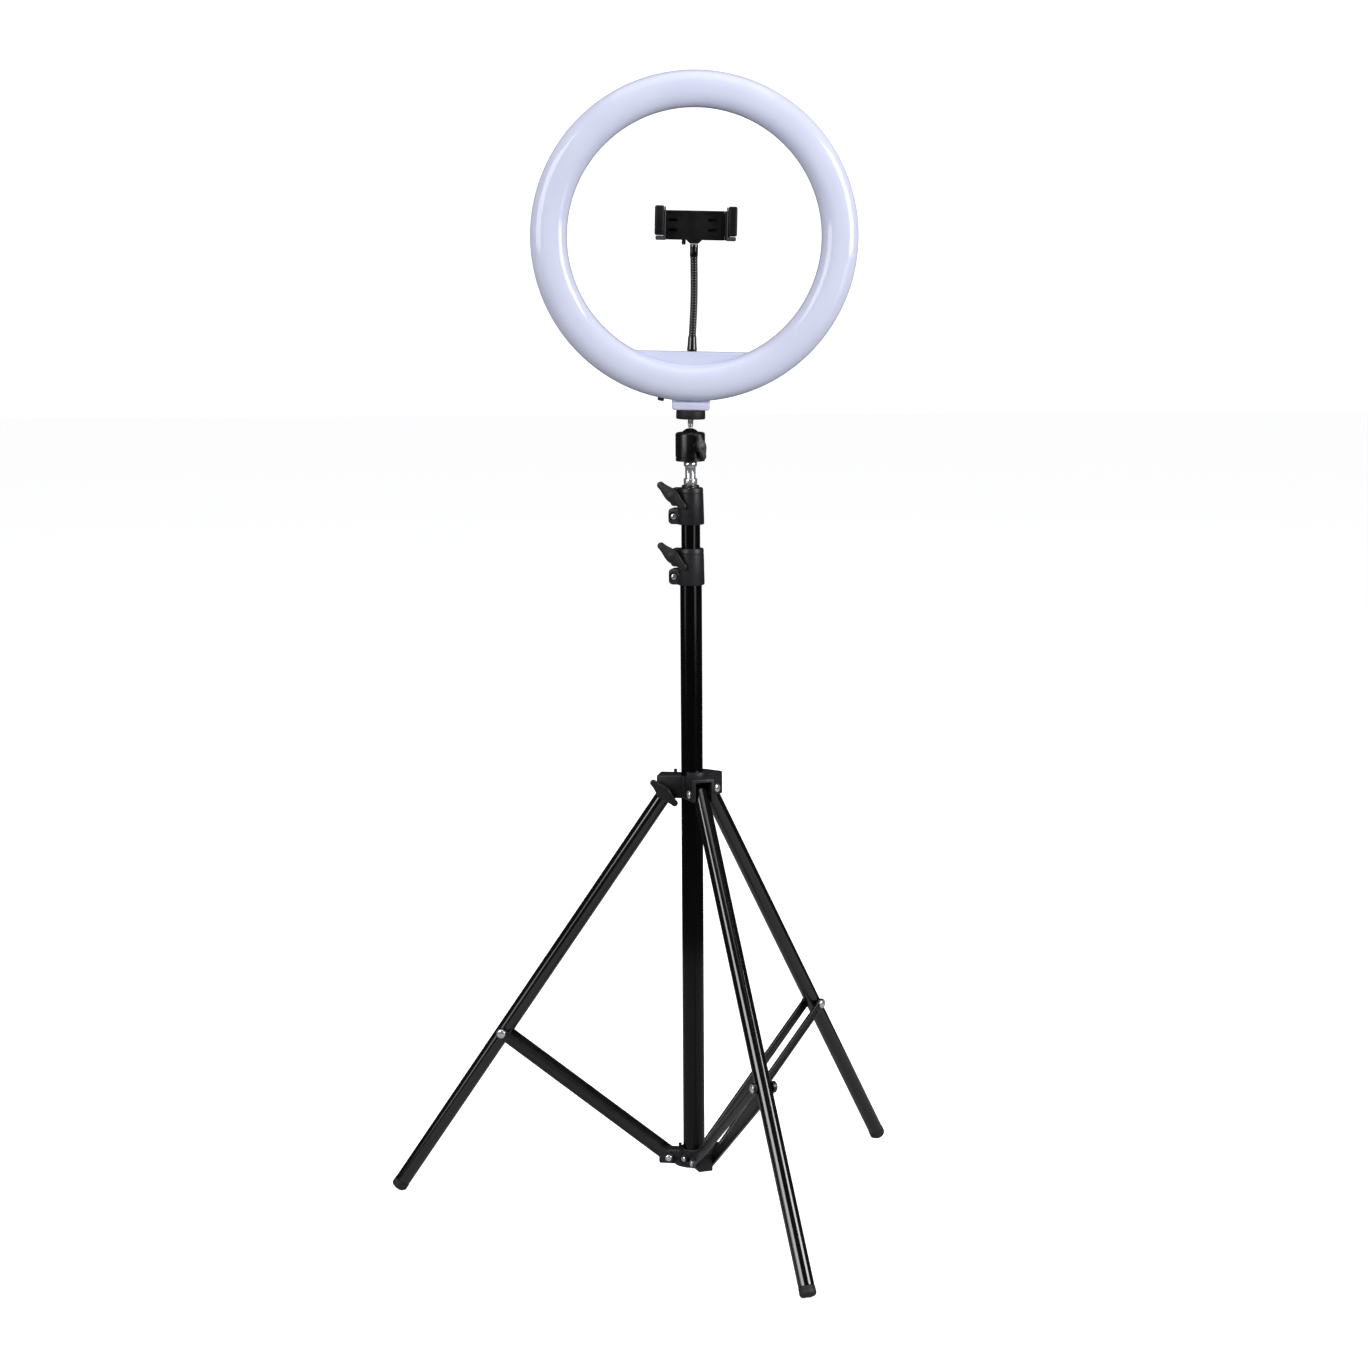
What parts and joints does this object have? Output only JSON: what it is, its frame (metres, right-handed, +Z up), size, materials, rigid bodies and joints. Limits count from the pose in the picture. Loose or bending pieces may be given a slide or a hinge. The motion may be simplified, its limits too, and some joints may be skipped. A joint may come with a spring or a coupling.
{
  "type": "ring light on stand",
  "caption": "Ring light with a central gooseneck phone holder, on a ball head and a folding three-legged telescopic light stand.",
  "frame": {"origin": "on the floor, at the middle of the box round the three spread feet", "axes": "+Z up along the column, the light faces -Y, +X to the right of someone facing the light"},
  "size_m": [0.5281, 0.5516, 1.1532],
  "materials": {
    "tube_paint": "gloss black paint",
    "strut_paint": "gloss black paint",
    "clamp_plastic": "satin moulded black",
    "knob_plastic": "satin moulded black",
    "inner_plastic": "plain moulded",
    "head_body": "satin black",
    "ball_gloss": "polished black",
    "disc_rubber": "matte",
    "foot_rubber": "matte",
    "gland_rubber": "matte",
    "chrome": "polished",
    "spring_steel": "plain wire",
    "ring_shell": "smooth moulded, pale lavender white",
    "ring_diffuser": "translucent smooth, pale lavender white",
    "led_board": "printed board",
    "circuit_board": "printed board",
    "gooseneck_coat": "black sleeve",
    "holder_plastic": "satin moulded black",
    "jaw_pad": "soft dark grey"
  },
  "bodies": {
    "column": {"column_tube": "tube_paint", "column_collar": "clamp_plastic", "column_collar_screw": "chrome", "strut_hub": "clamp_plastic", "strut_hub_screw": "chrome", "strut_rivet_left": "chrome", "strut_rivet_front": "chrome", "strut_rivet_back": "chrome"},
    "column_collar_knob": {"column_collar_knob": "knob_plastic"},
    "middle_tube": {"middle_tube": "tube_paint", "middle_guide": "inner_plastic", "middle_collar": "clamp_plastic", "middle_collar_screw": "chrome"},
    "middle_collar_knob": {"middle_collar_knob": "knob_plastic"},
    "top_tube": {"top_tube": "tube_paint", "top_guide": "inner_plastic", "tube_cap": "clamp_plastic", "spigot": "chrome"},
    "ball_head": {"ball_head_body": "head_body", "pressure_shoe": "inner_plastic"},
    "ball_head_knob": {"ball_head_knob": "knob_plastic"},
    "ball": {"ball": "ball_gloss"},
    "ball_stud": {"ball_stud": "chrome", "platform_disc": "disc_rubber"},
    "light": {"rear_housing": "ring_shell", "front_diffuser": "ring_diffuser", "led_board": "led_board", "driver_board": "circuit_board", "power_gland": "gland_rubber", "gooseneck_ferrule": "gooseneck_coat"},
    "gooseneck_lower": {"gooseneck_lower": "gooseneck_coat"},
    "gooseneck_middle": {"gooseneck_middle": "gooseneck_coat"},
    "gooseneck_upper": {"gooseneck_upper": "gooseneck_coat"},
    "holder_swivel": {"holder_swivel": "holder_plastic"},
    "holder": {"holder_frame": "holder_plastic", "jaw_pad_left": "jaw_pad", "jaw_spring": "spring_steel"},
    "holder_knob": {"holder_knob": "knob_plastic"},
    "sliding_jaw": {"sliding_jaw": "holder_plastic", "jaw_pad_right": "jaw_pad"},
    "leg_hub": {"leg_hub": "clamp_plastic", "leg_bolt_left": "chrome", "leg_bolt_front": "chrome", "leg_bolt_back": "chrome"},
    "leg_hub_knob": {"leg_hub_knob": "knob_plastic"},
    "leg_left": {"leg_tube_left": "tube_paint", "leg_foot_left": "foot_rubber"},
    "leg_front": {"leg_tube_front": "tube_paint", "leg_foot_front": "foot_rubber"},
    "leg_back": {"leg_tube_back": "tube_paint", "leg_foot_back": "foot_rubber"},
    "struts_left": {"strut_left_a": "strut_paint", "strut_left_b": "strut_paint"},
    "struts_front": {"strut_front_a": "strut_paint", "strut_front_b": "strut_paint"},
    "struts_back": {"strut_back_a": "strut_paint", "strut_back_b": "strut_paint"}
  },
  "joints": [
    {"name": "column_knob_turn", "type": "hinge", "parent": "column", "child": "column_collar_knob", "pos_m": [0.03833, 0.02651, 0.674], "axis": [-0.2588, -0.9659, 0], "range_deg": [0, 180]},
    {"name": "middle_slide", "type": "slide", "parent": "column", "child": "middle_tube", "axis": [0, 0, 1], "range_m": [-0.022, 0.52]},
    {"name": "middle_knob_turn", "type": "hinge", "parent": "middle_tube", "child": "middle_collar_knob", "pos_m": [0.03833, 0.02651, 0.7349], "axis": [-0.2588, -0.9659, 0], "range_deg": [0, 180]},
    {"name": "top_slide", "type": "slide", "parent": "middle_tube", "child": "top_tube", "axis": [0, 0, 1], "range_m": [0, 0.5]},
    {"name": "head_pan", "type": "hinge", "parent": "top_tube", "child": "ball_head", "pos_m": [0.05437, 0.02842, 0.7685], "axis": [0, 0, 1], "range_deg": [-180, 180]},
    {"name": "head_knob_turn", "type": "hinge", "parent": "ball_head", "child": "ball_head_knob", "pos_m": [0.06295, 0.01468, 0.784], "axis": [0.5299, -0.848, 0], "range_deg": [0, 180]},
    {"name": "ball_tilt", "type": "hinge", "parent": "ball_head", "child": "ball", "pos_m": [0.05437, 0.02842, 0.791], "axis": [1, 0, 0], "range_deg": [-30, 30]},
    {"name": "ball_roll", "type": "hinge", "parent": "ball", "child": "ball_stud", "pos_m": [0.05437, 0.02842, 0.791], "axis": [0, 1, 0], "range_deg": [-25, 25]},
    {"name": "light_turn", "type": "hinge", "parent": "ball_stud", "child": "light", "pos_m": [0.05508, 0.02842, 0.81909], "axis": [0.0253, 0, 0.9997], "range_deg": [-180, 180]},
    {"name": "gooseneck_low_bend", "type": "hinge", "parent": "light", "child": "gooseneck_lower", "pos_m": [0.05696, 0.03142, 0.89357], "axis": [0.9997, 0, -0.0253], "range_deg": [-30, 30]},
    {"name": "gooseneck_mid_bend", "type": "hinge", "parent": "gooseneck_lower", "child": "gooseneck_middle", "pos_m": [0.05773, 0.03142, 0.92376], "axis": [0, 1, 0], "range_deg": [-30, 30]},
    {"name": "gooseneck_top_bend", "type": "hinge", "parent": "gooseneck_middle", "child": "gooseneck_upper", "pos_m": [0.05849, 0.03142, 0.95375], "axis": [0.9997, 0, -0.0253], "range_deg": [-30, 30]},
    {"name": "holder_pan", "type": "hinge", "parent": "gooseneck_upper", "child": "holder_swivel", "pos_m": [0.05924, 0.03142, 0.98344], "axis": [0.0253, 0, 0.9997], "range_deg": [-180, 180]},
    {"name": "holder_tilt", "type": "hinge", "parent": "holder_swivel", "child": "holder", "pos_m": [0.0595, 0.03142, 0.99394], "axis": [0.9997, 0, -0.0253], "range_deg": [-60, 30]},
    {"name": "holder_knob_turn", "type": "hinge", "parent": "holder", "child": "holder_knob", "pos_m": [0.05201, 0.03142, 0.99413], "axis": [-0.9997, 0, 0.0253], "range_deg": [0, 180]},
    {"name": "jaw_slide", "type": "slide", "parent": "holder", "child": "sliding_jaw", "axis": [0.9997, 0, -0.0253], "range_m": [0, 0.025], "stiffness_N_per_m": 250, "springref_m": -0.01},
    {"name": "leg_hub_slide", "type": "slide", "parent": "column", "child": "leg_hub", "axis": [0, 0, 1], "range_m": [0, 0.1424]},
    {"name": "leg_knob_turn", "type": "hinge", "parent": "leg_hub", "child": "leg_hub_knob", "pos_m": [0.02764, 0.02104, 0.4345], "axis": [-0.1771, -0.9842, 0], "range_deg": [0, 180]},
    {"name": "leg_left_swing", "type": "hinge", "parent": "leg_hub", "child": "leg_left", "pos_m": [0.02976, 0.03285, 0.4345], "axis": [-0.1771, -0.9842, 0], "range_deg": [0, 30.1]},
    {"name": "leg_front_swing", "type": "hinge", "parent": "leg_hub", "child": "leg_front", "pos_m": [0.06284, 0.0049, 0.4345], "axis": [0.9409, 0.3387, 0], "range_deg": [0, 30.1]},
    {"name": "leg_back_swing", "type": "hinge", "parent": "leg_hub", "child": "leg_back", "pos_m": [0.0705, 0.04752, 0.4345], "axis": [-0.7638, 0.6455, 0], "range_deg": [0, 30.1]},
    {"name": "struts_left_swing", "type": "hinge", "parent": "column", "child": "struts_left", "pos_m": [0.03026, 0.03276, 0.0509], "axis": [0.1771, 0.9842, 0], "range_deg": [0, 48.9]},
    {"name": "struts_front_swing", "type": "hinge", "parent": "column", "child": "struts_front", "pos_m": [0.06267, 0.00537, 0.0509], "axis": [-0.9409, -0.3387, 0], "range_deg": [0, 48.9]},
    {"name": "struts_back_swing", "type": "hinge", "parent": "column", "child": "struts_back", "pos_m": [0.07018, 0.04714, 0.0509], "axis": [0.7638, -0.6455, 0], "range_deg": [0, 48.9]}
  ],
  "couplings": [
    {"joint": "leg_left_swing", "follows": "leg_hub_slide", "rad_per_m": 3.677},
    {"joint": "leg_front_swing", "follows": "leg_hub_slide", "rad_per_m": 3.677},
    {"joint": "leg_back_swing", "follows": "leg_hub_slide", "rad_per_m": 3.677},
    {"joint": "struts_left_swing", "follows": "leg_hub_slide", "rad_per_m": 5.9779},
    {"joint": "struts_front_swing", "follows": "leg_hub_slide", "rad_per_m": 5.9779},
    {"joint": "struts_back_swing", "follows": "leg_hub_slide", "rad_per_m": 5.9779}
  ]
}
